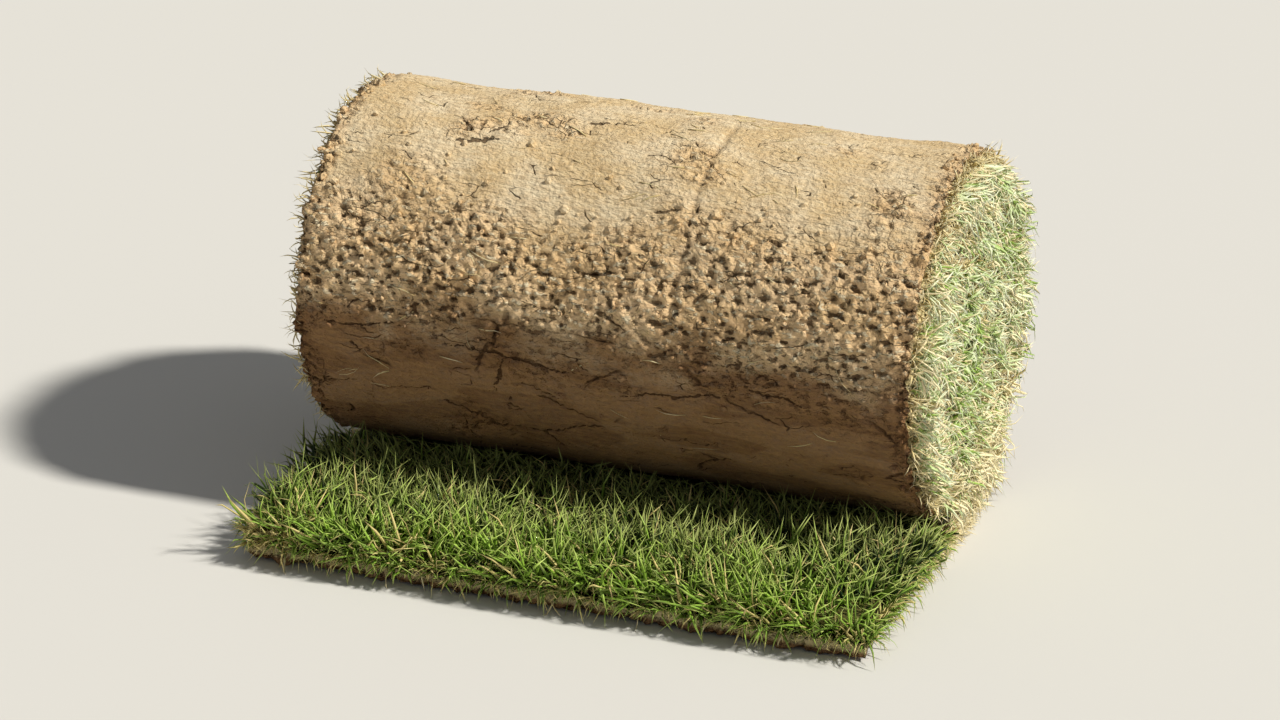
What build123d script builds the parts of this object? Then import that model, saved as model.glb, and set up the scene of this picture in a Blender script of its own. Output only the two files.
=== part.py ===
from build123d import *
import math
import os

# Roll of turf with its free end laid out on the ground. Millimetres, +Z up.
# X runs along the roll's axis, and the free end points to -Y. Soil is the outside
# of the roll and the underside of the free end, so the grass is wound inside.

# The strip as it was cut
strip_width = 400.0
mat_thickness = 13.0      # soil, roots and thatch
pressed_grass = 7.0       # the grass between two turns, flattened by the weight
standing_grass = 27.0     # the grass on the free end, above its mat

# The roll
outer_radius = 124.5      # the outermost turn's soil side, on the back half
eye_radius = 14.0         # the hollow that is left in the middle
eye_lining = 1.5          # the least grass between the eye and the innermost turn
free_end = 190.0          # from the line the roll rests on to the end's front edge

# Edges
soil_rim = 4.0            # crumbled corner of the mat, on its soil side
grass_setback = 8.0       # the grass is rooted this far inside the mat's edges
end_wear = 5.0            # crumbled front corner of the free end
grass_splay = 6.0         # the standing grass leans this far out over its roots
grass_crown = 9.0         # rounding of the standing grass along its edges

# One turn follows the next at a pitch of a mat and its pressed grass. Each half turn
# is half a ring, and the rings shrink by half a pitch as they go in. The back halves
# share one centre and the front halves another, half a pitch higher, so that each
# half runs into the next without a kink at the top and at the bottom.
pitch = mat_thickness + pressed_grass
back_centre = outer_radius
front_centre = outer_radius + pitch / 2
eye_centre = (back_centre + front_centre) / 2
eye_room = eye_radius + eye_lining + pitch / 4
half_turns = 1 + math.floor((outer_radius - mat_thickness - eye_room) / (pitch / 2))

# The box around the roll and its free end is centred on Y = 0 at the end.
middle_y = (outer_radius - free_end) / 2


def soil_radius(turn):
    """Outer radius of half turn number 0, 1, 2 and so on, counted from the outside."""
    return outer_radius - turn * pitch / 2


def half_ring(turn, inner, outer, width, middle_x=0.0, rim=0.0):
    """Half a ring, turned about the centre of the half that the turn lies in."""
    is_back = turn % 2 == 0
    centre = back_centre if is_back else front_centre
    start = -1 if is_back else 1
    section = Rectangle(width, outer - inner)
    if rim:
        corners = section.vertices().group_by(Axis.Y)[0 if is_back else -1]
        section = fillet(corners, rim)
    section = Plane.XZ * Pos(middle_x, centre + start * (inner + outer) / 2) * section
    return revolve(section, Axis((0, 0, centre), (1, 0, 0)), 180)


def wound_roll():
    """The closed body of the roll: its two outermost half turns, filled to the centre."""
    halves = [
        half_ring(turn, 0, soil_radius(turn), strip_width, rim=soil_rim) for turn in (0, 1)
    ]
    return halves[0] + halves[1]


def turn_grooves():
    """The spiral that shows on both ends, where the pressed grass lies set back.

    The grass inside the last two half turns opens into the eye.
    """
    grooves = []
    for turn in range(half_turns):
        grass_outer = soil_radius(turn) - mat_thickness
        grass_inner = 0 if turn >= half_turns - 2 else soil_radius(turn) - pitch
        for end in (-1, 1):
            middle_x = end * (strip_width - grass_setback) / 2
            grooves.append(half_ring(turn, grass_inner, grass_outer, grass_setback, middle_x))
    return grooves


def free_end_mat():
    """The mat of the free end, flat on the ground and tangent to the roll's underside."""
    section = Rectangle(strip_width, mat_thickness)
    section = fillet(section.vertices().group_by(Axis.Y)[0], soil_rim)
    mat = extrude(Plane.XZ * Pos(0, mat_thickness / 2) * section, free_end)
    front_edges = mat.faces().sort_by(Axis.Y)[0].edges().filter_by(Axis.X)
    return fillet(front_edges, end_wear)


def free_end_grass():
    """The grass that stands on the free end, splayed along its edges.

    It runs on under the roll, where the roll's weight presses it flat.
    """
    length = free_end - grass_setback
    roots = Pos(0, -length / 2, mat_thickness) * Rectangle(strip_width - 2 * grass_setback, length)
    lean = math.degrees(math.atan2(grass_splay, standing_grass))
    grass = split(extrude(roots, standing_grass, taper=-lean), Plane.XZ, keep=Keep.TOP)
    base = grass.faces().sort_by(Axis.Z)[0]
    back = grass.faces().sort_by(Axis.Y)[-1]
    return fillet(grass.edges() - base.edges() - back.edges(), grass_crown)


def eye():
    """The hollow that runs through the middle of the roll."""
    return Pos(0, 0, eye_centre) * Rot(0, 90, 0) * Cylinder(eye_radius, strip_width)


def turf_roll():
    """The whole strip, wound, as one solid."""
    strip = wound_roll() + free_end_mat() + free_end_grass()
    return Pos(0, -middle_y, 0) * (strip - turn_grooves() - eye())


parts = {"turf_roll": turf_roll()}

os.makedirs("parts", exist_ok=True)
for name, shape in parts.items():
    export_step(shape, f"parts/{name}.step")
    print(name, "volume", round(shape.volume), "box", shape.bounding_box().size)

strip_length = free_end + sum(
    math.pi * (soil_radius(turn) - mat_thickness / 2) for turn in range(half_turns)
)
print("half turns", half_turns, "strip length", round(strip_length))
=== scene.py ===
import math

import bpy
import numpy as np
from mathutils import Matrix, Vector


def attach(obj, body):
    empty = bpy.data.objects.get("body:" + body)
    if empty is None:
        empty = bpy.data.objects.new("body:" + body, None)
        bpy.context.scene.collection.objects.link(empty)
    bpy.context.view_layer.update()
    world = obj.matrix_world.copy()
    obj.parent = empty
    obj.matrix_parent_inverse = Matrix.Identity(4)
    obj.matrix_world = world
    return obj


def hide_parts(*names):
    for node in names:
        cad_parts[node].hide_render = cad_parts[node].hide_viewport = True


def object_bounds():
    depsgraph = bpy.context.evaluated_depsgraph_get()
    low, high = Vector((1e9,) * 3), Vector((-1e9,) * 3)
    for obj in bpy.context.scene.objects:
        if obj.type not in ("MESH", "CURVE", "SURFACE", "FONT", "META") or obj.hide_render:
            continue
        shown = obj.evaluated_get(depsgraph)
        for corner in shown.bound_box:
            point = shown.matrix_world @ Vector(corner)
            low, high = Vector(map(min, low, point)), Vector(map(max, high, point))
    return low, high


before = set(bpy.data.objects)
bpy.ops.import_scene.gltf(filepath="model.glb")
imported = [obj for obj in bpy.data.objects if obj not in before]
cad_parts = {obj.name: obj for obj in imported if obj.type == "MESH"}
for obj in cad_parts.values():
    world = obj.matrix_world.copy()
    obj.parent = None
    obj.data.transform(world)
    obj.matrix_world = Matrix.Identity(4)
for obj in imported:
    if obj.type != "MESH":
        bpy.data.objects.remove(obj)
cad_low, cad_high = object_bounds()
MM = 0.001

# The mat of the outermost turn
# Sandy loam bound by grass roots, cut from the field as a strip and dried pale by the sun. It
# starts as the free end on the ground, goes up round the back of the roll and down its front,
# soil side out. Under 6 mm or so of soil lies the straw-coloured thatch that the grass grows from.
strip_width = cad_high.x - cad_low.x
half_width = strip_width / 2
back_radius = (cad_high.z - cad_low.z) / 2
free_end = cad_high.y - cad_low.y - back_radius
axis_y = cad_high.y - back_radius
mat = 13 * MM
pressed_grass = 7 * MM
pitch = mat + pressed_grass
back_z = back_radius
front_z = back_radius + pitch / 2
half_turns = 10
worn_rim = 4 * MM
outer_columns = 190
outer_step = 2.1 * MM
free_end_step = 3.8 * MM
hair = 0.01 * MM    # points of a mesh that are closer than this are at the same place


def turn_radius(turn):
    """Soil side radius of a half turn. Even ones are at the back, odd ones at the front."""
    return back_radius - turn * pitch / 2


half_lengths = math.pi * turn_radius(np.arange(half_turns))
half_starts = free_end + np.concatenate(([0.0], np.cumsum(half_lengths)[:-1]))
strip_length = free_end + half_lengths.sum()


def select_verts(piece, test):
    """In edit mode, selects the vertices whose place passes the test."""
    bpy.ops.mesh.select_mode(type="VERT")
    bpy.ops.mesh.select_all(action="DESELECT")
    bpy.ops.object.mode_set(mode="OBJECT")
    for vert in piece.data.vertices:
        vert.select = bool(test(vert.co))
    bpy.ops.object.mode_set(mode="EDIT")


def strip_section(name, width, thickness, place, columns, rows, top_columns):
    """The strip's cross-section, a grid whose grass side has fewer points. Stays in edit mode."""
    bpy.ops.object.select_all(action="DESELECT")
    bpy.ops.mesh.primitive_grid_add(
        x_subdivisions=columns, y_subdivisions=rows, size=1, rotation=(math.pi / 2, 0, 0)
    )
    piece = bpy.context.object
    piece.name = piece.data.name = name
    piece.location = (0, place[0], place[1] + thickness / 2)
    piece.scale = (width, thickness, 1)
    bpy.ops.object.transform_apply(location=True, rotation=True, scale=True)
    bpy.ops.object.mode_set(mode="EDIT")
    column = width / columns
    stride = columns // top_columns
    top = place[1] + thickness

    def spare(co):
        number = round((co.x + width / 2) / column)
        return co.z > top - hair and number % stride and 0 < number < columns

    select_verts(piece, spare)
    bpy.ops.mesh.dissolve_verts()
    return piece


def wear_rim(piece, width, lowest, rim):
    """Draws in the soil side's two corners, row by row, as they crumble."""
    rows = sorted({round(v.co.z, 6) for v in piece.data.vertices})
    for height in rows:
        if height < lowest + rim:
            drop = 1 - (height - lowest) / rim
            pull = rim * (1 - math.sqrt(max(0.0, 1 - drop * drop)))
            select_verts(piece, lambda co: abs(co.z - height) < hair)
            bpy.ops.transform.resize(value=(1 - 2 * pull / width, 1, 1))
    bpy.ops.mesh.select_mode(type="FACE")
    bpy.ops.mesh.select_all(action="SELECT")


def wind(turn, radius, step):
    """Spins the selected section through one half turn of the roll."""
    bpy.ops.mesh.spin(
        steps=max(10, round(math.pi * radius / step)),
        angle=math.pi,
        center=(0, axis_y, back_z if turn % 2 == 0 else front_z),
        axis=(-1, 0, 0),
    )


def finish_shell():
    """Leaves edit mode with the shell merged, its faces pointing outwards and shaded smooth."""
    bpy.ops.mesh.select_all(action="SELECT")
    bpy.ops.mesh.remove_doubles(threshold=hair)
    bpy.ops.mesh.normals_make_consistent(inside=False)
    bpy.ops.object.mode_set(mode="OBJECT")
    bpy.ops.object.shade_smooth()


def lay_flat(points):
    """Where points of the wound strip were before it was wound: across, along and deep in it.

    Along starts at the free end's front edge, and deep is measured from the soil side.
    """
    across, y, z = points.T
    behind = y > axis_y
    rise = z - np.where(behind, back_z, front_z)
    radius = np.hypot(y - axis_y, rise)
    angle = np.arctan2(abs(y - axis_y), np.where(behind, -rise, rise))
    inwards = np.where(behind, turn_radius(0), turn_radius(1)) - radius
    # A point that stands up to a fifth of a pitch out of a mat's soil side is still that mat's.
    laps = np.clip(np.floor(inwards / pitch + 0.2), 0, half_turns / 2 - 1)
    turn = (2 * laps + ~behind).astype(int)
    along = half_starts[turn] + turn_radius(turn) * angle
    deep = turn_radius(turn) - radius
    on_ground = ~behind & (z < mat + pressed_grass / 2)
    along = np.where(on_ground, y - cad_low.y, along)
    deep = np.where(on_ground, z, deep)
    return np.stack([across, along, deep], axis=1)


def wind_up(across, along, deep):
    """The opposite: where places on the flat strip come to lie once it is wound."""
    turn = np.searchsorted(half_starts, along, side="right") - 1
    on_ground = (turn < 0)[:, None]
    turn = np.maximum(turn, 0)
    angle = (along - half_starts[turn]) / turn_radius(turn)
    is_back = turn % 2 == 0
    side = np.where(is_back, 1, -1)
    radius = turn_radius(turn) - deep
    wound = np.stack([across, axis_y + side * np.sin(angle) * radius,
                      np.where(is_back, back_z, front_z) - side * np.cos(angle) * radius], axis=1)
    laid = np.stack([across, cad_low.y + along, deep], axis=1)
    return np.where(on_ground, laid, wound)


def mark_flat_place(piece):
    """Keeps on each point where it lay on the flat strip, which the soil's pattern follows."""
    points = np.empty(3 * len(piece.data.vertices))
    piece.data.vertices.foreach_get("co", points)
    marks = piece.data.attributes.new("flat_place", "FLOAT_VECTOR", "POINT")
    marks.data.foreach_set("vector", lay_flat(points.reshape(-1, 3)).reshape(-1))


def add_node(tree, kind, inputs=None, **settings):
    """Adds a node with its settings. An input is a value, a socket or a node's first output."""
    node = tree.nodes.new(kind)
    for name, value in settings.items():
        setattr(node, name, value)
    for key, value in (inputs or {}).items():
        if isinstance(value, bpy.types.Node):
            value = value.outputs[0]
        if isinstance(value, bpy.types.NodeSocket):
            tree.links.new(value, node.inputs[key])
        else:
            node.inputs[key].default_value = value
    return node


def down_front(degrees):
    """How far along the strip a place on the roll's front is, given in degrees from the top."""
    return half_starts[1] + turn_radius(1) * math.radians(degrees)


def soil_pattern(tree, place):
    """The forms of the soil at a place on the flat strip, by name.

    Each is from 0 to 1, apart from the crumbs' tones, which are colours, and the depth.
    """
    form = {}
    # Soft patches and fine grain: name, size in mm across and along the strip, octaves, and
    # the noise values that become 0 and 1.
    for name, across, along, octaves, low, high in (
        ("swell", 95, 80, 2, 0.25, 0.75),
        ("blotches", 48, 36, 4, 0.36, 0.64),
        ("broken", 70, 45, 4, 0.52, 0.72),
        ("clumps", 24, 16, 3, 0.34, 0.54),
        ("streaks", 12, 2.6, 3, 0.3, 0.7),
        ("grain", 3.4, 2.2, 4, 0.32, 0.68),
        ("pits", 6, 4, 4, 0.55, 0.61),
        ("flakes", 6, 3.5, 3, 0.56, 0.62),
        ("dry_spots", 34, 14, 2, 0.57, 0.63),
        ("split_spots", 90, 26, 2, 0.46, 0.52),
        ("frayed", 14, 9, 2, 0.3, 0.7),
    ):
        stretched = add_node(tree, "ShaderNodeVectorMath",
                             {0: place, 1: (1 / across / MM, 1 / along / MM, 1 / along / MM)},
                             operation="MULTIPLY")
        noise = add_node(tree, "ShaderNodeTexNoise",
                         {"Vector": stretched, "Scale": 1.0, "Detail": octaves,
                          "Roughness": 0.55})
        form[name] = add_node(tree, "ShaderNodeMapRange",
                              {"Value": noise, "From Min": low, "From Max": high},
                              interpolation_type="SMOOTHSTEP")

    # Cracks and crumbs wander off the straight by a few millimetres.
    closer = add_node(tree, "ShaderNodeVectorMath", {0: place, "Scale": 1 / (16 * MM)},
                      operation="SCALE")
    wander = add_node(tree, "ShaderNodeTexNoise",
                      {"Vector": closer, "Scale": 1.0, "Detail": 3.0}).outputs["Color"]
    wandering = add_node(tree, "ShaderNodeVectorMath",
                         {0: wander, 1: (14 * MM, 9 * MM, 0.0), 2: place},
                         operation="MULTIPLY_ADD")

    # Belts: the front of the roll crumbled most and split in long cracks below that, the cut
    # edges fray, and a crease runs round where the strip was folded. Each goes by the distance
    # from a line: the coordinate, the line, and where the form is full and where it ends, in mm.
    apart = add_node(tree, "ShaderNodeSeparateXYZ", {0: place})
    apart_wandering = add_node(tree, "ShaderNodeSeparateXYZ", {0: wandering})
    swing = 40 * MM
    uneven = add_node(tree, "ShaderNodeMath", {0: form["swell"], 1: swing, 2: apart.outputs[1]},
                      operation="MULTIPLY_ADD")
    for name, start, line, near, far in (
        ("belt", uneven, down_front(70) + swing / 2, 20, 76),
        ("lower", uneven, down_front(112) + swing / 2, 34, 52),
        ("rims", apart.outputs[0], 0.0, 199, 181),
        ("front_edge", apart.outputs[1], 0.0, 3, 14),
        ("crease_line", apart_wandering.outputs[0], 56 * MM, 0.6, 3.2),
        ("crease_reach", apart.outputs[1], down_front(35), 60, 110),
    ):
        off = add_node(tree, "ShaderNodeMath", {0: start, 1: line}, operation="SUBTRACT")
        distance = add_node(tree, "ShaderNodeMath", {0: off}, operation="ABSOLUTE")
        rising = near > far
        form[name] = add_node(tree, "ShaderNodeMapRange",
                              {"Value": distance, "From Min": min(near, far) * MM,
                               "From Max": max(near, far) * MM, "To Min": float(not rising),
                               "To Max": float(rising)}, interpolation_type="SMOOTHSTEP")
    form["a_little"] = add_node(tree, "ShaderNodeMath", {0: form["clumps"], 1: 0.08},
                                operation="MULTIPLY")
    for name, operation, first, second in (
        ("rims", "MAXIMUM", "rims", "front_edge"),
        ("crumbled", "MAXIMUM", "belt", "rims"),
        ("crumbled", "MAXIMUM", "crumbled", "broken"),
        ("crumbled", "MAXIMUM", "crumbled", "a_little"),
        ("crease", "MULTIPLY", "crease_line", "crease_reach"),
        ("pits", "MULTIPLY", "pits", "clumps"),
        ("pits", "MULTIPLY", "pits", "crumbled"),
        ("flakes", "MULTIPLY", "flakes", "crumbled"),
        ("frayed", "MULTIPLY", "frayed", "rims"),
        ("split_spots", "MULTIPLY", "split_spots", "lower"),
        ("knobbly", "MULTIPLY", "grain", "lower"),
    ):
        form[name] = add_node(tree, "ShaderNodeMath", {0: form[first], 1: form[second]},
                              operation=operation)

    # Cracks, where the cells of dried soil part: cell size in mm across and along the strip,
    # half the crack's width in mm, and the patches that it keeps to.
    cracks = []
    for across, along, half_gap, kept_to in ((26, 9, 0.18, "dry_spots"),
                                             (90, 36, 0.4, "split_spots"),
                                             (30, 24, 0.3, "broken")):
        stretched = add_node(tree, "ShaderNodeVectorMath",
                             {0: wandering, 1: (1 / across / MM, 1 / along / MM, 0.0)},
                             operation="MULTIPLY")
        cells = add_node(tree, "ShaderNodeTexVoronoi", {"Vector": stretched, "Scale": 1.0},
                         voronoi_dimensions="2D", feature="DISTANCE_TO_EDGE")
        line = add_node(tree, "ShaderNodeMapRange",
                        {"Value": cells, "From Min": 0.4 * half_gap / along,
                         "From Max": 1.6 * half_gap / along, "To Min": 1.0, "To Max": 0.0})
        cracks.append(add_node(tree, "ShaderNodeMath", {0: line, 1: form[kept_to]},
                               operation="MULTIPLY"))

    # Single cracks that taper at both ends: where they are in mm across and in degrees down the
    # front, their slant in degrees, and half their length and width in mm.
    for across, down, slant, half_length, half_width_there in (
        (-97, 26, 14, 18, 2.1), (-106, 20, -50, 11, 1.4), (-86, 19, 60, 9, 1.0),
        (-18, 10, 8, 18, 1.4), (-45, 97, -5, 46, 1.1), (-56, 104, 78, 13, 1.2),
        (58, 102, 9, 40, 1.0), (122, 97, -12, 24, 1.1), (-148, 92, 5, 32, 1.0),
        (40, 44, 10, 9, 1.6), (112, 50, -20, 8, 1.7), (8, 66, 15, 10, 1.5),
    ):
        middle = (across * MM, down_front(down), 0.0)
        turned = add_node(tree, "ShaderNodeVectorRotate",
                          {"Vector": wandering, "Center": middle, "Angle": math.radians(slant)})
        off = add_node(tree, "ShaderNodeVectorMath", {0: turned, 1: middle}, operation="SUBTRACT")
        shrunk = add_node(tree, "ShaderNodeVectorMath",
                          {0: off, 1: (1 / half_length / MM, 1 / half_width_there / MM, 0.0)},
                          operation="MULTIPLY")
        distance = add_node(tree, "ShaderNodeVectorMath", {0: shrunk}, operation="LENGTH")
        ragged = add_node(tree, "ShaderNodeMath",
                          {0: form["grain"], 1: 0.7, 2: distance.outputs["Value"]},
                          operation="MULTIPLY_ADD")
        cracks.append(add_node(tree, "ShaderNodeMapRange",
                               {"Value": ragged, "From Min": 0.9, "From Max": 1.2,
                                "To Min": 1.0, "To Max": 0.0}))
    form["cracks"] = cracks[0]
    for crack in cracks[1:]:
        form["cracks"] = add_node(tree, "ShaderNodeMath", {0: form["cracks"], 1: crack},
                                  operation="MAXIMUM")

    # Crumbs, which stick up out of the crumbled soil at two sizes, each crumb by its own height.
    for name, size in (("clods", 6.0), ("crumbs", 3.0)):
        closer = add_node(tree, "ShaderNodeVectorMath",
                          {0: wandering, "Scale": 1 / (size * MM)}, operation="SCALE")
        cells = add_node(tree, "ShaderNodeTexVoronoi", {"Vector": closer, "Scale": 1.0})
        lump = add_node(tree, "ShaderNodeMapRange",
                        {"Value": cells, "From Min": 0.05, "From Max": 0.65,
                         "To Min": 1.0, "To Max": 0.0})
        kept = add_node(tree, "ShaderNodeMath", {0: lump, 1: form["crumbled"]},
                        operation="MULTIPLY")
        form[name] = add_node(tree, "ShaderNodeMath", {0: kept, 1: cells.outputs["Color"]},
                              operation="MULTIPLY")
        form[f"{name}_tone"] = cells.outputs["Color"]
    form["deep"] = apart.outputs[2]
    return form


def relief_tree():
    """Node tree that carves the soil's forms into a mat and keeps it above the ground."""
    tree = bpy.data.node_groups.new("soil_relief", "GeometryNodeTree")
    tree.interface.new_socket("Geometry", in_out="INPUT", socket_type="NodeSocketGeometry")
    tree.interface.new_socket("Geometry", in_out="OUTPUT", socket_type="NodeSocketGeometry")
    start = add_node(tree, "NodeGroupInput")
    place = add_node(tree, "GeometryNodeInputNamedAttribute", {"Name": "flat_place"},
                     data_type="FLOAT_VECTOR")
    form = soil_pattern(tree, place.outputs[0])
    # How far each form rises, in mm, over a soil side that is first sunk by about their mean.
    sunk = 3.2 * MM
    height = -sunk
    for name, rise in (("swell", 3.4), ("clods", 2.4), ("crumbs", 1.6), ("streaks", 0.2),
                       ("grain", 0.6), ("flakes", 1.4), ("frayed", -4.0), ("pits", -2.8),
                       ("cracks", -1.8), ("crease", -1.6)):
        height = add_node(tree, "ShaderNodeMath", {0: form[name], 1: rise * MM, 2: height},
                          operation="MULTIPLY_ADD")
    normal = add_node(tree, "GeometryNodeInputNormal")
    offset = add_node(tree, "ShaderNodeVectorMath", {0: normal, "Scale": height},
                      operation="SCALE")
    carved = add_node(tree, "GeometryNodeSetPosition",
                      {"Geometry": start, "Offset": offset})
    position = add_node(tree, "GeometryNodeInputPosition")
    lowest = (-1.0, -1.0, 0.0)    # the ground, and further out than the mat reaches
    above = add_node(tree, "ShaderNodeVectorMath", {0: position, 1: lowest}, operation="MAXIMUM")
    grounded = add_node(tree, "GeometryNodeSetPosition",
                        {"Geometry": carved, "Position": above})
    add_node(tree, "NodeGroupOutput", {0: grounded})
    return tree


def carve(piece, tree):
    """Runs a node tree on a piece and keeps the result."""
    bpy.ops.object.select_all(action="DESELECT")
    piece.select_set(True)
    bpy.context.view_layer.objects.active = piece
    modifier = piece.modifiers.new("relief", "NODES")
    modifier.node_group = tree
    bpy.ops.object.modifier_apply(modifier=modifier.name)


def linear(hex_colour):
    """An sRGB hex colour as linear RGBA."""
    values = [int(hex_colour[i:i + 2], 16) / 255 for i in (1, 3, 5)]
    return [v / 12.92 if v <= 0.04045 else ((v + 0.055) / 1.055) ** 2.4 for v in values] + [1.0]


def dried_loam():
    """Sun-dried sandy loam over straw-coloured thatch.

    Matt and pale tan where the sun dried it, browner and darker near the ground, partly damp and
    partly painted shade, with painted shade in the gaps between its crumbs. Straw shows on the cut
    edges, under the soil.
    """
    material = bpy.data.materials.new("dried_sandy_loam")
    material.use_nodes = True
    tree = material.node_tree
    shader = tree.nodes["Principled BSDF"]
    shader.inputs["Roughness"].default_value = 0.95
    shader.inputs["Specular IOR Level"].default_value = 0.15
    place = add_node(tree, "ShaderNodeAttribute", attribute_name="flat_place").outputs["Vector"]
    form = soil_pattern(tree, place)

    # Darker, redder soil towards the ground, partly damp and partly painted shade: full up to 117
    # to 142 mm above the ground, and gone from 36 mm above that.
    darkened_up_to = 142 * MM
    undarkened_from = darkened_up_to + 36 * MM
    height = add_node(tree, "ShaderNodeSeparateXYZ",
                      {0: add_node(tree, "ShaderNodeTexCoord").outputs["Object"]}).outputs[2]
    rising = add_node(tree, "ShaderNodeMath", {0: form["blotches"], 1: 25 * MM, 2: height},
                      operation="MULTIPLY_ADD")
    form["damp_and_painted_shade"] = add_node(tree, "ShaderNodeMapRange",
                            {"Value": rising, "From Min": darkened_up_to, "From Max": undarkened_from,
                             "To Min": 0.84, "To Max": 0.0})

    # Thatch: the depth in the mat, in mm, from which it shows, and that from which grass shades it.
    wavy = add_node(tree, "ShaderNodeMath", {0: form["frayed"], 1: 2.5 * MM, 2: form["deep"]},
                    operation="MULTIPLY_ADD")
    for name, depth, low, high in (("thatch", wavy, 4.5, 7.5),
                                   ("shaded", form["deep"], 12.2, 12.8)):
        form[name] = add_node(tree, "ShaderNodeMapRange",
                              {"Value": depth, "From Min": low * MM, "From Max": high * MM})

    # Layers of colour, each over the last: the form that it shows on, how strongly, and its tint.
    colour = linear("#E6CB9A")
    for name, strength, tint in (
        ("blotches", 0.9, "#F8E8C6"),
        ("grain", 0.25, "#FCF0D4"),
        ("crumbs_tone", 0.2, "#B28A54"),
        ("clods_tone", 0.2, "#F4E1B6"),
        ("crumbled", 0.5, "#F8CA92"),
        ("crumbs", 0.8, "#F2DAA6"),
        ("flakes", 0.85, "#FAEDCA"),
        ("frayed", 0.4, "#6A3E22"),
        # Darker and redder towards the ground: partly damp soil, partly painted shade on the lower
        # front.
        ("damp_and_painted_shade", 0.95, "#603218"),
        ("knobbly", 0.42, "#AE8050"),
        ("split_spots", 0.4, "#54321C"),
        ("streaks", 0.34, "#B48C58"),
        # Pits, crease and cracks are darkened: painted shade in their hollows, over their carved
        # relief.
        ("pits", 0.7, "#4F3219"),
        ("crease", 0.2, "#6B4C2B"),
        ("cracks", 0.8, "#48301B"),
        ("thatch", 0.9, "#E6D7A2"),
        ("shaded", 1.0, "#35371A"),
    ):
        share = add_node(tree, "ShaderNodeMath", {0: form[name], 1: strength},
                         operation="MULTIPLY")
        colour = add_node(tree, "ShaderNodeMix", {"Factor": share, 6: colour, 7: linear(tint)},
                          data_type="RGBA").outputs[2]
    tree.links.new(colour, shader.inputs["Base Color"])

    # Relief too fine for the mesh: grit of about 1 mm, and the sharp edges of streaks, crumbs and
    # the openings between them, each with its height in mm and whether it is sunk.
    grit_size = 1.2 * MM
    grit = add_node(tree, "ShaderNodeTexNoise",
                    {"Vector": place, "Scale": 1 / grit_size, "Detail": 4.0, "Roughness": 0.7})
    openings = add_node(tree, "ShaderNodeMath", {0: form["cracks"], 1: form["pits"]},
                        operation="MAXIMUM")
    below = {}
    for height, depth, sunk in ((grit, 0.6, False), (form["streaks"], 0.3, False),
                                (form["grain"], 0.7, False), (form["crumbs"], 2.4, False),
                                (form["clods"], 1.6, False), (form["flakes"], 1.0, False),
                                (openings, 1.8, True)):
        below = {"Normal": add_node(tree, "ShaderNodeBump",
                                    {"Height": height, "Strength": 0.9,
                                     "Distance": depth * MM, **below}, invert=sunk)}
    tree.links.new(below["Normal"].outputs[0], shader.inputs["Normal"])
    return material


loam = dried_loam()
soil_relief = relief_tree()

outer_turn = strip_section("outer_turn_mat", strip_width, mat, place=(cad_low.y, 0),
                           columns=outer_columns, rows=5, top_columns=10)
wear_rim(outer_turn, strip_width, lowest=0, rim=worn_rim)
free_end_steps = round(free_end / free_end_step)
for _ in range(free_end_steps):
    bpy.ops.mesh.extrude_region_move(
        TRANSFORM_OT_translate={"value": (0, free_end / free_end_steps, 0)})
wind(0, turn_radius(0), outer_step)
wind(1, turn_radius(1), outer_step)
finish_shell()
mark_flat_place(outer_turn)
carve(outer_turn, soil_relief)
outer_turn.data.materials.append(loam)
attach(outer_turn, "root")
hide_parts("turf_roll")

# The mats of the inner turns
# The same strip, wound on inside the outermost turn. Only its edges show, as a brown spiral
# on both ends of the roll, between the layers of grass.
inner_step = 3.2 * MM
inner_turns = strip_section("inner_turn_mats", strip_width, mat, place=(axis_y, pitch),
                            columns=12, rows=5, top_columns=4)
wear_rim(inner_turns, strip_width, lowest=pitch, rim=worn_rim / 2)
for turn in range(2, half_turns):
    wind(turn, turn_radius(turn), inner_step)
finish_shell()
mark_flat_place(inner_turns)
carve(inner_turns, soil_relief)
inner_turns.data.materials.append(loam)
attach(inner_turns, "root")

# The pressed grass between the turns
# Last season's thatch and this year's blades, flattened between two mats. It lies a little
# inside the mats' edges and fills the spiral from the free end to the eye.
thatch_setback = 7 * MM
thatch_overlap = MM    # how far it reaches into the mats above and below it
thatch_width = strip_width - 2 * thatch_setback
thatch_step = 4 * MM
fibre_size = 2.5 * MM


def matted_thatch():
    """Matted thatch: dull brown-green fibres, coarse enough here to show between the blades."""
    material = bpy.data.materials.new("matted_thatch")
    material.use_nodes = True
    tree = material.node_tree
    shader = tree.nodes["Principled BSDF"]
    shader.inputs["Roughness"].default_value = 0.9
    shader.inputs["Specular IOR Level"].default_value = 0.2
    place = add_node(tree, "ShaderNodeTexCoord").outputs["Object"]
    fibres = add_node(tree, "ShaderNodeTexNoise",
                      {"Vector": place, "Scale": 1 / fibre_size, "Detail": 4.0,
                       "Distortion": 1.5})
    spread = add_node(tree, "ShaderNodeMapRange",
                      {"Value": fibres, "From Min": 0.35, "From Max": 0.65})
    colour = add_node(tree, "ShaderNodeMix",
                      {"Factor": spread, 6: linear("#2B3013"), 7: linear("#6E6A34")},
                      data_type="RGBA").outputs[2]
    tree.links.new(colour, shader.inputs["Base Color"])
    bump = add_node(tree, "ShaderNodeBump", {"Height": fibres, "Distance": 1.5 * MM})
    tree.links.new(bump.outputs[0], shader.inputs["Normal"])
    return material


pressed = strip_section("pressed_thatch", thatch_width, pressed_grass + 2 * thatch_overlap,
                        place=(cad_low.y + thatch_setback, mat - thatch_overlap),
                        columns=12, rows=2, top_columns=4)
bpy.ops.mesh.select_mode(type="FACE")
bpy.ops.mesh.select_all(action="SELECT")
bpy.ops.mesh.extrude_region_move(
    TRANSFORM_OT_translate={"value": (0, free_end - thatch_setback, 0)})
for turn in range(half_turns):
    wind(turn, turn_radius(turn) - mat, thatch_step)
finish_shell()
pressed.data.materials.append(matted_thatch())
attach(pressed, "root")

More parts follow.
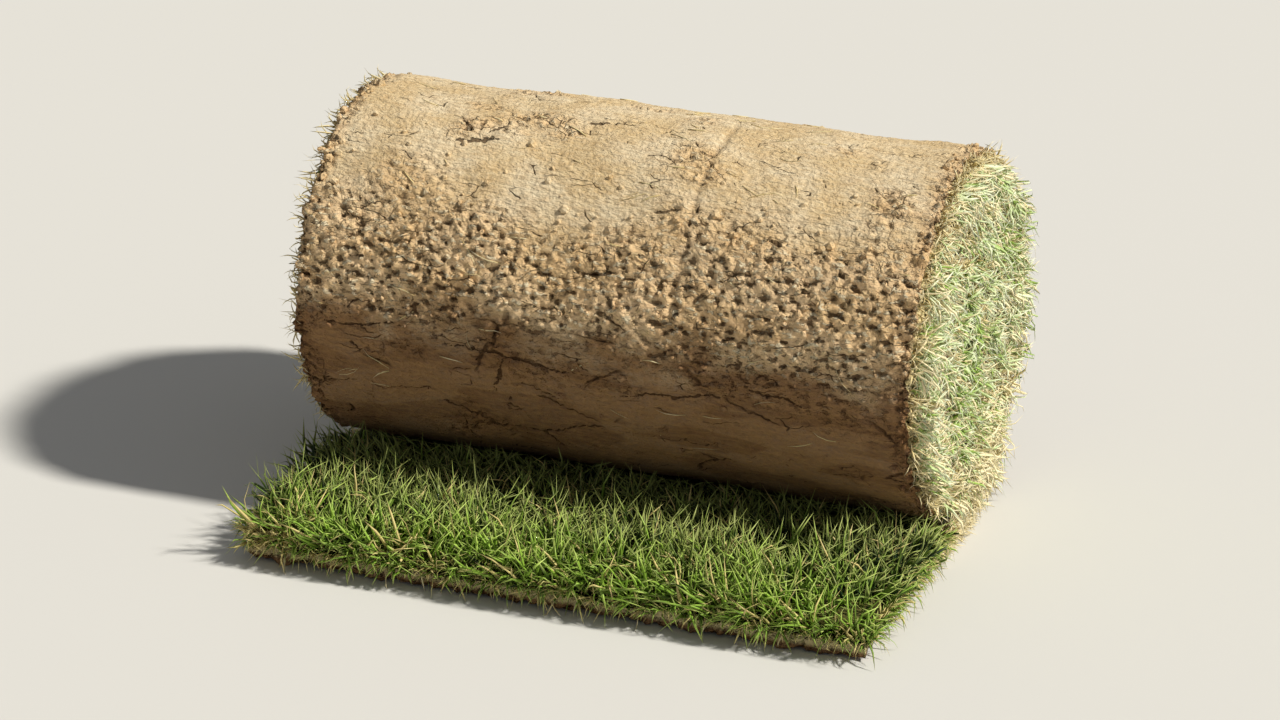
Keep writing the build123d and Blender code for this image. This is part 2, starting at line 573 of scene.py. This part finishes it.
# The standing grass of the free end
# Ryegrass and fescue that was mown at about 30 mm, growing up from the mat in tufts. The blades
# arch, lean out over the cut edges, and are pushed forward where the roll lies on them.
ring_widths = (0.7, 1.0, 0.7)    # a blade's width at its root and on its way up, as shares
splayed_out = 13 * MM
off_ground = 0.6 * MM
off_soil = 1.5 * MM


def unit(vectors):
    """The vectors at length 1, row by row."""
    return vectors / np.maximum(np.linalg.norm(vectors, axis=1, keepdims=True), 1e-9)


def keep_on_free_end(points):
    """Holds points of blades above the ground, in front of the roll and near the mat."""
    reach = half_width + splayed_out
    points[:, 0] = np.clip(points[:, 0], -reach, reach)
    points[:, 1] = np.maximum(points[:, 1], cad_low.y - splayed_out)
    points[:, 2] = np.maximum(points[:, 2], off_ground)
    from_axis = points[:, 1:] - (axis_y, front_z)
    distance = np.linalg.norm(from_axis, axis=1)
    bare = turn_radius(1) + off_soil
    inside = (distance < bare) & (abs(points[:, 0]) < half_width) & (points[:, 1] < axis_y)
    push = np.where(inside, bare / np.maximum(distance, 1e-6), 1.0)
    points[:, 1:] = (axis_y, front_z) + from_axis * push[:, None]
    return points


def grow(name, rng, roots, heads, curl, lengths, widths, marks, clear):
    """Many tapering three-sided blades as one mesh, each bent step by step along its own path.

    Each blade starts at its root along its head, and is turned by its curl as it grows. marks
    are numbers by name that the blade keeps for its colour. clear moves points that are in
    the way of something.
    """
    count = len(roots)
    heads = unit(heads)
    side = unit(np.cross(heads, rng.normal(size=(count, 3))))
    rings = []
    spot = roots.copy()
    for number, share in enumerate(ring_widths):
        flat = unit(side - heads * (side * heads).sum(1, keepdims=True))
        keel = np.cross(heads, flat)
        half = (widths * share / 2)[:, None]
        rings += [spot - flat * half, spot + flat * half, spot - keel * half * 0.6]
        heads = unit(heads + curl * (number + 1) / len(ring_widths))
        spot = clear(spot + heads * (lengths / len(ring_widths))[:, None])
    points = np.stack(rings + [spot], axis=1)

    walls = [(0, 1), (1, 2), (2, 0)]
    faces = [[2, 1, 0]]
    for low in range(0, 3 * len(ring_widths) - 3, 3):
        faces += [[low + a, low + b, low + b + 3, low + a + 3] for a, b in walls]
    last = 3 * len(ring_widths) - 3
    faces += [[last + a, last + b, last + 3] for a, b in walls]
    corners = np.concatenate(faces)
    sizes = [len(face) for face in faces]
    blade_points = points.shape[1]

    mesh = bpy.data.meshes.new(name)
    mesh.vertices.add(count * blade_points)
    mesh.vertices.foreach_set("co", points.reshape(-1))
    mesh.loops.add(count * len(corners))
    first = np.arange(count)[:, None] * blade_points
    mesh.loops.foreach_set("vertex_index", (first + corners).reshape(-1))
    mesh.polygons.add(count * len(faces))
    starts = np.concatenate(([0], np.cumsum(np.tile(sizes, count))[:-1]))
    mesh.polygons.foreach_set("loop_start", starts)
    mesh.update(calc_edges=True)
    mesh.shade_smooth()
    height = np.minimum(np.arange(blade_points) // 3 / len(ring_widths), 1.0)
    values = {"along": np.tile(height, count)}
    values.update({mark: np.repeat(each, blade_points) for mark, each in marks.items()})
    for label, numbers in values.items():
        mesh.attributes.new(label, "FLOAT", "POINT").data.foreach_set("value", numbers)
    piece = bpy.data.objects.new(name, mesh)
    bpy.context.collection.objects.link(piece)
    return piece


def blade_finish(name, root, dark, light, tip, dead):
    """Grass leaf: a pale sheath, a green blade and a yellower tip, on each blade its own green.

    Blades that have died back are straw. The leaf's waxy skin gives it a slight gloss.
    """
    material = bpy.data.materials.new(name)
    material.use_nodes = True
    tree = material.node_tree
    shader = tree.nodes["Principled BSDF"]
    shader.inputs["Roughness"].default_value = 0.5
    shader.inputs["Specular IOR Level"].default_value = 0.35
    marks = {mark: add_node(tree, "ShaderNodeAttribute", attribute_name=mark).outputs["Fac"]
             for mark in ("along", "tone", "dry")}
    for mark, low, high, at_low, at_high in (("root", 0.0, 0.4, 1.0, 0.0),
                                             ("tip", 0.6, 1.0, 0.0, 0.75)):
        marks[mark] = add_node(tree, "ShaderNodeMapRange",
                               {"Value": marks["along"], "From Min": low, "From Max": high,
                                "To Min": at_low, "To Max": at_high})
    colour = linear(dark)
    for mark, tint in (("tone", light), ("root", root), ("tip", tip), ("dry", dead)):
        colour = add_node(tree, "ShaderNodeMix",
                          {"Factor": marks[mark], 6: colour, 7: linear(tint)},
                          data_type="RGBA").outputs[2]
    tree.links.new(colour, shader.inputs["Base Color"])
    return material


# Lawn grass: deep green between the blades, bright yellow-green where the sun catches them.
lawn = blade_finish("lawn_grass", root="#77723E", dark="#172D0E", light="#94BA42",
                    tip="#D6E080", dead="#DEC988")

rng = np.random.default_rng(11)
tufts, blades = 1500, 12300
tuft_spread = 3.2 * MM
tuft = rng.integers(tufts, size=blades)
front, back = cad_low.y + 5 * MM, axis_y - 28 * MM
tuft_x = rng.uniform(-half_width + 6 * MM, half_width - 6 * MM, tufts)
tuft_y = rng.uniform(front, back, tufts)
root_x = tuft_x[tuft] + rng.normal(scale=tuft_spread, size=blades)
root_y = tuft_y[tuft] + rng.normal(scale=tuft_spread, size=blades)
root_x = np.clip(root_x, -half_width + 4 * MM, half_width - 4 * MM)
root_y = np.clip(root_y, front - 2 * MM, back)
roots = np.stack([root_x, root_y, np.full(blades, mat - MM)], axis=1)
near_front = np.clip(1 - (root_y - front) / (20 * MM), 0, 1)
near_side = np.clip(1 - (half_width - abs(root_x)) / (20 * MM), 0, 1) * np.sign(root_x)
under_roll = np.clip(1 - (axis_y - 62 * MM - root_y) / (25 * MM), 0, 1)
heads = rng.normal(scale=0.3, size=(tufts, 3))[tuft] + rng.normal(scale=0.3, size=(blades, 3))
heads[:, 0] += near_side * 0.7
heads[:, 1] -= near_front * 0.7 + under_roll * 1.3
heads[:, 2] = 1.0
curl = rng.normal(scale=0.38, size=(blades, 3))
curl[:, 2] -= rng.uniform(0.0, 0.45, blades)
vigour = rng.normal(1.0, 0.16, tufts)[tuft]
left_corner = np.clip((-root_x - 150 * MM) / (40 * MM), 0, 1) * near_front
# Blades within 34 mm of the front edge get a lighter tone and those further back a darker one:
# painted sunlight on the front band and painted shade under the roll.
painted_sun_in_front = np.clip(1 - (root_y - front) / (34 * MM), -0.7, 1)
tone = rng.normal(0.34, 0.22, tufts)[tuft] + rng.normal(0.0, 0.26, blades) + 0.55 * painted_sun_in_front
grass = grow(
    "free_end_grass", rng, roots, heads, curl,
    lengths=np.clip(rng.uniform(28, 44, blades) * vigour, 16, 52) * MM,
    widths=rng.uniform(1.3, 2.5, blades) * MM,
    marks={"tone": np.clip(tone, 0, 1),
           "dry": (rng.random(blades) < 0.05 + 0.1 * near_front + 0.5 * left_corner) * 0.9},
    clear=keep_on_free_end,
)
grass.data.materials.append(lawn)
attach(grass, "root")

# The fringe of the free end
# Blades and straw along its three cut edges, which have no neighbours to hold them up. They
# hang out over the mat's edge, yellower than the rest and most so at the left corner.
rng = np.random.default_rng(17)
blades = 2400
fringed_side = 150 * MM
run = rng.uniform(0, strip_width + 2 * fringed_side, blades)
from_corner = abs(run - strip_width / 2 - fringed_side) - strip_width / 2
on_front = from_corner < 0
side = np.where(run < fringed_side, -1.0, 1.0)
root_x = np.where(on_front, run - fringed_side - half_width, side * (half_width - 3 * MM))
root_y = cad_low.y + 3 * MM + np.maximum(from_corner, 0)
roots = np.stack([root_x, root_y, rng.uniform(9, 14, blades) * MM], axis=1)
roots += rng.normal(scale=1.0 * MM, size=(blades, 3))
heads = rng.normal(scale=0.45, size=(blades, 3))
heads[:, 0] += np.where(on_front, 0.0, side)
heads[:, 1] -= np.where(on_front, 1.0, 0.15)
heads[:, 2] += 1.2
curl = rng.normal(scale=0.35, size=(blades, 3))
curl[:, 2] -= rng.uniform(0.1, 0.8, blades)
yellow = np.clip(0.35 + (-root_x - 150 * MM) / (60 * MM), 0.35, 0.8)
fringe = grow(
    "free_end_fringe", rng, roots, heads, curl,
    lengths=rng.uniform(8, 24, blades) * MM,
    widths=rng.uniform(0.7, 1.9, blades) * MM,
    marks={"tone": rng.uniform(0.3, 1.0, blades),
           "dry": (rng.random(blades) < yellow) * rng.uniform(0.6, 1.0, blades)},
    clear=keep_on_free_end,
)
fringe.data.materials.append(lawn)
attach(fringe, "root")

# The grass that sticks out of the roll's ends
# The grass was mown towards the strip's right side. At the right end the blades spring out of the
# turns, bleached and painted paler still as painted sunlight. At the left end they were cut short
# with the strip.
left_reach, right_reach = 7 * MM, 16 * MM
rim_left_bare = 10 * MM
lying_low = 2 * pitch    # below this the blades may hang over the mat's edge


def keep_in_end(points):
    """Holds points of blades above the ground and within the outermost turn's soil side."""
    points[:, 0] = np.clip(points[:, 0], -half_width - left_reach, half_width + right_reach)
    points[:, 2] = np.maximum(points[:, 2], off_ground)
    behind = points[:, 1] > axis_y
    centre = np.where(behind, back_z, front_z)
    from_axis = points[:, 1:] - np.stack([np.full(len(points), axis_y), centre], axis=1)
    distance = np.linalg.norm(from_axis, axis=1)
    edge = np.where(behind, turn_radius(0), turn_radius(1)) - rim_left_bare
    past = (distance > edge) & (points[:, 2] > lying_low)
    pull = np.where(past, edge / np.maximum(distance, 1e-6), 1.0)
    points[:, 1:] += from_axis * (pull - 1)[:, None]
    return points


# Bleached grass with painted sunlight: pale green blades among nearly white ones.
bleached_painted_sunlit = blade_finish("bleached_and_painted_sunlit_grass", root="#F6EFCA", dark="#9CBC55", light="#EDF5CB",
                      tip="#FEFDEE", dead="#F9EBC0")
# Shaded, cut grass: a duller middle green with straw-coloured stubs.
cut_short = blade_finish("shaded_cut_grass", root="#A39C62", dark="#3F6A28", light="#86A84C",
                         tip="#B5C677", dead="#BFAD74")
for end, label, blades, reach, finish in ((1, "right", 9600, 1.0, bleached_painted_sunlit),
                                          (-1, "left", 6000, 0.4, cut_short)):
    rng = np.random.default_rng(40 + end)
    tufts = 300
    tuft = rng.integers(tufts, size=blades)
    along = rng.uniform(free_end, strip_length, tufts)[tuft] + rng.normal(0, 4 * MM, blades)
    along = np.clip(along, free_end, strip_length)
    deep = mat + rng.uniform(-1.5 * MM, pressed_grass, blades)
    across = end * (half_width - rng.uniform(4, 9, blades) * MM)
    roots = wind_up(across, along, deep)
    heads = rng.normal(0, 0.42, (tufts, 3))[tuft] + rng.normal(0, 0.28, (blades, 3))
    heads[:, 0] = end
    curl = rng.normal(scale=0.45, size=(blades, 3))
    curl[:, 0] = -end * rng.uniform(0.0, 0.5, blades)
    curl[:, 2] -= rng.uniform(0.0, 0.5, blades)
    low_down = np.clip(1 - roots[:, 2] / (110 * MM), 0, 1)
    outermost = along < half_starts[3]
    vigour = rng.uniform(0.55, 1.3, tufts)[tuft] * np.where(outermost, 1.1, 0.8)
    tone = rng.normal(0.45, 0.3, tufts)[tuft] + rng.normal(0, 0.2, blades)
    end_grass = grow(
        f"{label}_end_grass", rng, roots, heads, curl,
        lengths=rng.uniform(14, 27, blades) * vigour * reach * MM,
        widths=rng.uniform(1.1, 2.8, blades) * MM,
        marks={"tone": np.clip(tone, 0, 1),
               "dry": (rng.random(blades) < 0.16 + 0.5 * low_down + 0.2 * outermost) * 0.95},
        clear=keep_in_end,
    )
    end_grass.data.materials.append(finish)
    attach(end_grass, "root")

# The straw along the turns' edges
# Thatch fibres that stick out of the mat's cut edge under its soil, all round both ends and most
# on the outer turns. They make a pale band between the soil and the grass.


def keep_above_ground(points):
    """Holds points above the ground."""
    points[:, 2] = np.maximum(points[:, 2], 0.5 * MM)
    return points


# Dry straw: pale cream fibres, a little darker at their roots.
straw = blade_finish("dry_thatch_straw", root="#C6AD70", dark="#DAC68A", light="#F2E6BC",
                     tip="#F7EED0", dead="#EADAA8")
for end, label, blades in ((1, "right", 4600), (-1, "left", 3000)):
    rng = np.random.default_rng(60 + end)
    along = free_end + (strip_length - free_end) * rng.random(blades) ** 3
    # Some stick out a little further forward, so the band fades out along the free end.
    along = np.minimum(along + rng.normal(-12 * MM, 26 * MM, blades), strip_length)
    deep = rng.uniform(3.5, 13, blades) * MM
    across = end * (half_width - rng.uniform(1, 5, blades) * MM)
    roots = wind_up(across, along, deep)
    heads = rng.normal(scale=0.6, size=(blades, 3))
    heads[:, 0] = end
    fibres = grow(
        f"{label}_end_straw", rng, roots, heads,
        curl=rng.normal(scale=0.7, size=(blades, 3)),
        lengths=rng.uniform(7, 16, blades) * MM,
        widths=rng.uniform(0.7, 1.5, blades) * MM,
        marks={"tone": rng.random(blades), "dry": rng.random(blades) * 0.3},
        clear=keep_above_ground,
    )
    fibres.data.materials.append(straw)
    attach(fibres, "root")

# Loose straw and roots
# Cut fibres that stuck to the soil when the roll was wound lie about on it, most along the roll,
# and a few pale roots hang from the free end's front edge.


def lay_on_soil(points):
    """Moves points to the nearest place on the outermost turn, just clear of its soil."""
    laid = []
    for point in points:
        _, nearest, outwards, _ = outer_turn.closest_point_on_mesh(Vector(point))
        laid.append(nearest + outwards * 0.3 * MM)
    return np.array(laid)


rng = np.random.default_rng(71)
blades = 170
along = rng.uniform(half_starts[0] + 60 * MM, down_front(120), blades)
across = rng.uniform(-half_width + 8 * MM, half_width - 8 * MM, blades)
roots = wind_up(across, along, np.zeros(blades))
heads = rng.normal(scale=0.5, size=(blades, 3))
heads[:, 0] = rng.choice((-1.0, 1.0), blades)
loose = grow(
    "loose_straw", rng, lay_on_soil(roots), heads,
    curl=rng.normal(scale=0.25, size=(blades, 3)),
    lengths=rng.uniform(7, 26, blades) * MM,
    widths=rng.uniform(0.5, 1.1, blades) * MM,
    marks={"tone": rng.random(blades), "dry": rng.random(blades) * 0.5},
    clear=lay_on_soil,
)

blades = 11
root_x = np.linspace(-half_width, half_width, blades + 2)[1:-1]
root_x += rng.normal(scale=14 * MM, size=blades)
root_y = np.full(blades, cad_low.y + 3 * MM)
roots = np.stack([root_x, root_y, rng.uniform(8, 13, blades) * MM], axis=1)
heads = rng.normal(scale=0.3, size=(blades, 3))
heads[:, 1] = -1.0
curl = rng.normal(scale=0.4, size=(blades, 3))
curl[:, 2] = -rng.uniform(0.8, 1.6, blades)
hanging = grow(
    "hanging_roots", rng, roots, heads, curl,
    lengths=rng.uniform(12, 26, blades) * MM,
    widths=rng.uniform(0.9, 1.5, blades) * MM,
    marks={"tone": rng.uniform(0.5, 1.0, blades), "dry": rng.uniform(0.3, 0.9, blades)},
    clear=keep_on_free_end,
)
for piece in (loose, hanging):
    piece.data.materials.append(straw)
    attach(piece, "root")

# Crumbs of soil
# Lumps that broke off the dry mat and still hang on by a root: most on the crumbled belt, the
# rest on both rims. One lump is modelled, then repeated at its own size and turn.
crumb_count = 700
share_on_rims = 0.45
largest_crumb = 3.4    # half its width, in mm
bpy.ops.object.select_all(action="DESELECT")
bpy.ops.mesh.primitive_ico_sphere_add(subdivisions=1, radius=1)
lump = bpy.context.object
bpy.ops.object.mode_set(mode="EDIT")
bpy.ops.mesh.select_all(action="SELECT")
bpy.ops.transform.vertex_random(offset=0.28, seed=5)
bpy.ops.object.mode_set(mode="OBJECT")
lump_points = np.array([v.co for v in lump.data.vertices])
lump_faces = np.array([f.vertices for f in lump.data.polygons])
bpy.ops.object.delete()

rng = np.random.default_rng(83)
on_rim = rng.random(crumb_count) < share_on_rims
either_end = rng.choice((-1, 1), crumb_count)
rim_across = either_end * (half_width - rng.uniform(1, 13, crumb_count) * MM)
across = np.where(on_rim, rim_across, rng.uniform(-half_width, half_width, crumb_count) * 0.96)
along = np.where(on_rim, rng.uniform(half_starts[0] + 40 * MM, down_front(125), crumb_count),
                 rng.normal(down_front(65), 40 * MM, crumb_count))
middles = lay_on_soil(wind_up(across, along, np.zeros(crumb_count)))
turns, _ = np.linalg.qr(rng.normal(size=(crumb_count, 3, 3)))
turns *= np.sign(np.linalg.det(turns))[:, None, None]
sizes = rng.uniform(0.5, 1.0, (crumb_count, 1, 3)) * rng.gamma(3.0, 0.6, (crumb_count, 1, 1))
places = (lump_points * np.minimum(sizes, largest_crumb) * MM) @ turns + middles[:, None]
places[:, :, 2] = np.maximum(places[:, :, 2], 0.0)
firsts = np.arange(crumb_count)[:, None, None] * len(lump_points)
crumbs_mesh = bpy.data.meshes.new("soil_crumbs")
crumbs_mesh.from_pydata(places.reshape(-1, 3).tolist(), [],
                        (firsts + lump_faces).reshape(-1, 3).tolist())
soil_crumbs = bpy.data.objects.new("soil_crumbs", crumbs_mesh)
bpy.context.collection.objects.link(soil_crumbs)
mark_flat_place(soil_crumbs)
soil_crumbs.data.materials.append(loam)
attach(soil_crumbs, "root")

# The floor, the light and the camera
# A pale plain floor, a soft key light from the right and a wide soft fill, seen from the
# height and side that the roll was seen from.
bpy.ops.object.select_all(action="DESELECT")
bpy.ops.mesh.primitive_plane_add(size=40)
floor = bpy.context.object
floor.name = "floor"
paper = bpy.data.materials.new("pale_floor")
paper.use_nodes = True
paper.node_tree.nodes["Principled BSDF"].inputs["Base Color"].default_value = linear("#D9D8D4")
paper.node_tree.nodes["Principled BSDF"].inputs["Roughness"].default_value = 0.9
floor.data.materials.append(paper)

world = bpy.data.worlds.new("studio")
bpy.context.scene.world = world
world.use_nodes = True
sky = world.node_tree.nodes["Background"]
is_seen = add_node(world.node_tree, "ShaderNodeLightPath").outputs["Is Camera Ray"]
# The fill that lights the roll, and what is seen behind it.
for socket, lighting, seen in (("Color", linear("#E9EAEC"), linear("#E4E3DF")),
                               ("Strength", [0.25] * 4, [0.9] * 4)):
    chosen = add_node(world.node_tree, "ShaderNodeMix", {"Factor": is_seen, 6: lighting, 7: seen},
                      data_type="RGBA").outputs[2]
    world.node_tree.links.new(chosen, sky.inputs[socket])

sun_from = Vector((1.0, 0.06, 1.0))
bpy.ops.object.light_add(type="SUN", rotation=sun_from.to_track_quat("Z", "Y").to_euler())
key = bpy.context.object
key.data.energy = 4.2
key.data.angle = math.radians(5)
key.data.color = (1.0, 0.96, 0.88)

view_azimuth = math.radians(20.5)
view_elevation = math.radians(23)
view_distance = 2.7
below_middle = 24 * MM
aim = (cad_low + cad_high) / 2 - Vector((0, 0, below_middle))
away = Vector((math.sin(view_azimuth) * math.cos(view_elevation),
               -math.cos(view_azimuth) * math.cos(view_elevation),
               math.sin(view_elevation)))
bpy.ops.object.camera_add(location=aim + away * view_distance,
                          rotation=away.to_track_quat("Z", "Y").to_euler())
camera = bpy.context.object
camera.data.lens = 122
camera.data.clip_end = 100
bpy.context.scene.camera = camera
bpy.context.scene.view_settings.view_transform = "Standard"
